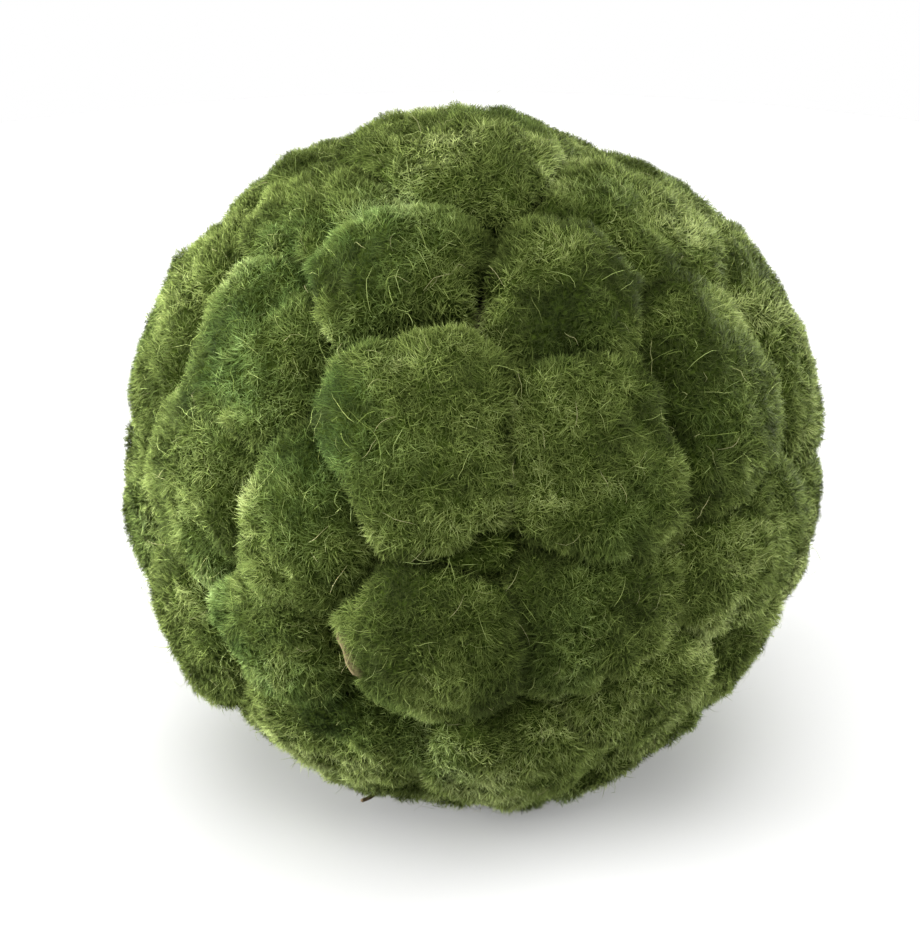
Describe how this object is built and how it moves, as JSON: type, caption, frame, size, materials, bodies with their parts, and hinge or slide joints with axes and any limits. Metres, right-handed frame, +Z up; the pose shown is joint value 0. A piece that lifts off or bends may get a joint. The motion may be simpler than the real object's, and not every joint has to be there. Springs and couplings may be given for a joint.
{
  "type": "moss ball",
  "caption": "Round ball of cushion moss: rounded clumps packed side by side on an inner ball, pressed flat where it rests.",
  "frame": {"origin": "centre of the underside, on the surface the ball rests on, at the middle of its bounding box", "axes": "+Z up; -Y is the front, the side the picture shows; +X is the right seen from the front"},
  "size_m": [0.1996, 0.2024, 0.1956],
  "materials": {
    "moss": "matte",
    "inner_ball": "matte"
  },
  "bodies": {
    "root": {"clump_back_foot_1": "moss", "clump_back_foot_2": "moss", "clump_back_foot_3": "moss", "clump_back_foot_4": "moss", "clump_back_foot_5": "moss", "clump_back_high_1": "moss", "clump_back_high_2": "moss", "clump_back_high_3": "moss", "clump_back_high_4": "moss", "clump_back_lower_1": "moss", "clump_back_lower_2": "moss", "clump_back_lower_3": "moss", "clump_back_lower_4": "moss", "clump_back_lower_5": "moss", "clump_back_lower_6": "moss", "clump_back_lower_7": "moss", "clump_back_upper_1": "moss", "clump_back_upper_2": "moss", "clump_back_upper_3": "moss", "clump_back_upper_4": "moss", "clump_back_upper_5": "moss", "clump_belly_left": "moss", "clump_belly_middle": "moss", "clump_belly_right": "moss", "clump_brow_left": "moss", "clump_brow_right": "moss", "clump_centre": "moss", "clump_centre_right": "moss", "clump_crown": "moss", "clump_foot_left": "moss", "clump_foot_middle": "moss", "clump_foot_right": "moss", "clump_shoulder_left": "moss", "clump_shoulder_right": "moss", "clump_side_left": "moss", "clump_side_left_high": "moss", "clump_side_left_low": "moss", "clump_side_right": "moss", "clump_side_right_high": "moss", "clump_side_right_low": "moss", "clump_sole": "moss", "clump_under_left": "moss", "clump_under_middle": "moss", "clump_under_right": "moss", "clump_upper_left": "moss", "clump_upper_right": "moss", "clump_waist_left": "moss", "clump_waist_middle": "moss", "inner_ball": "inner_ball"}
  },
  "joints": []
}
